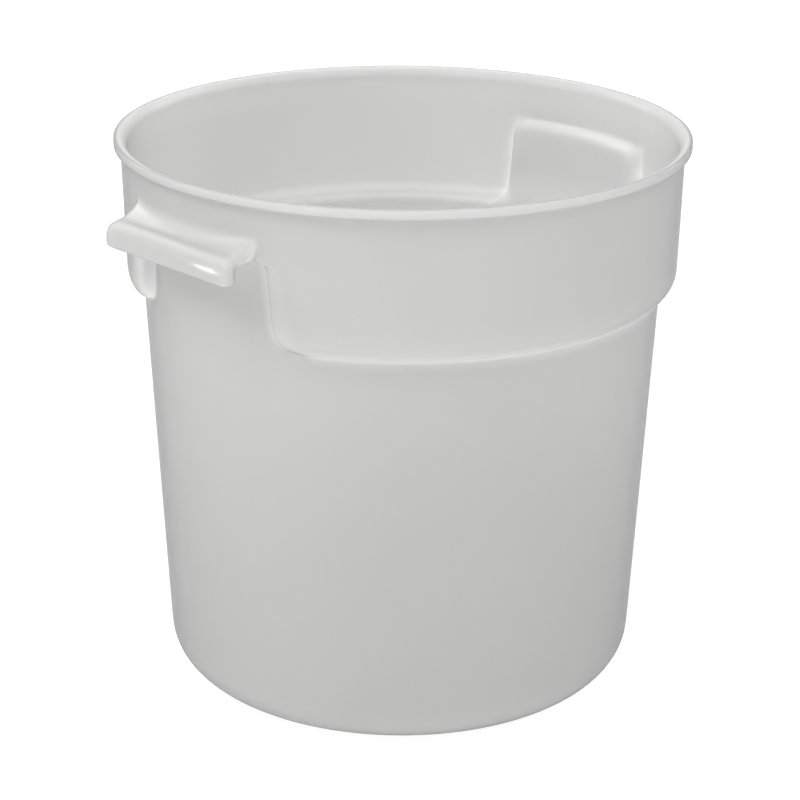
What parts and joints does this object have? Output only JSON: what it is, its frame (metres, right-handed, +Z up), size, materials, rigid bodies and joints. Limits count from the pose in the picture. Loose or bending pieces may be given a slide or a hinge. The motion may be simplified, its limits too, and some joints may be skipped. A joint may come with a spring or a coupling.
{
  "type": "round food storage container",
  "caption": "Open round food storage container in natural white plastic: tapered body, wider collar, rolled rim and two moulded grips with finger recesses.",
  "frame": {"origin": "middle of the base, on the plane that the container stands on", "axes": "+Z up along the container's axis, +X and -X out through the two grips"},
  "size_m": [0.2866, 0.27, 0.266],
  "materials": {
    "natural_polyethylene": "satin, slightly translucent natural white"
  },
  "bodies": {
    "root": {"rim": "natural_polyethylene", "collar": "natural_polyethylene", "shoulder": "natural_polyethylene", "body_wall": "natural_polyethylene", "base_heel": "natural_polyethylene", "floor_panel": "natural_polyethylene", "left_grip": "natural_polyethylene", "right_grip": "natural_polyethylene", "left_finger_recess": "natural_polyethylene", "right_finger_recess": "natural_polyethylene"}
  },
  "joints": []
}
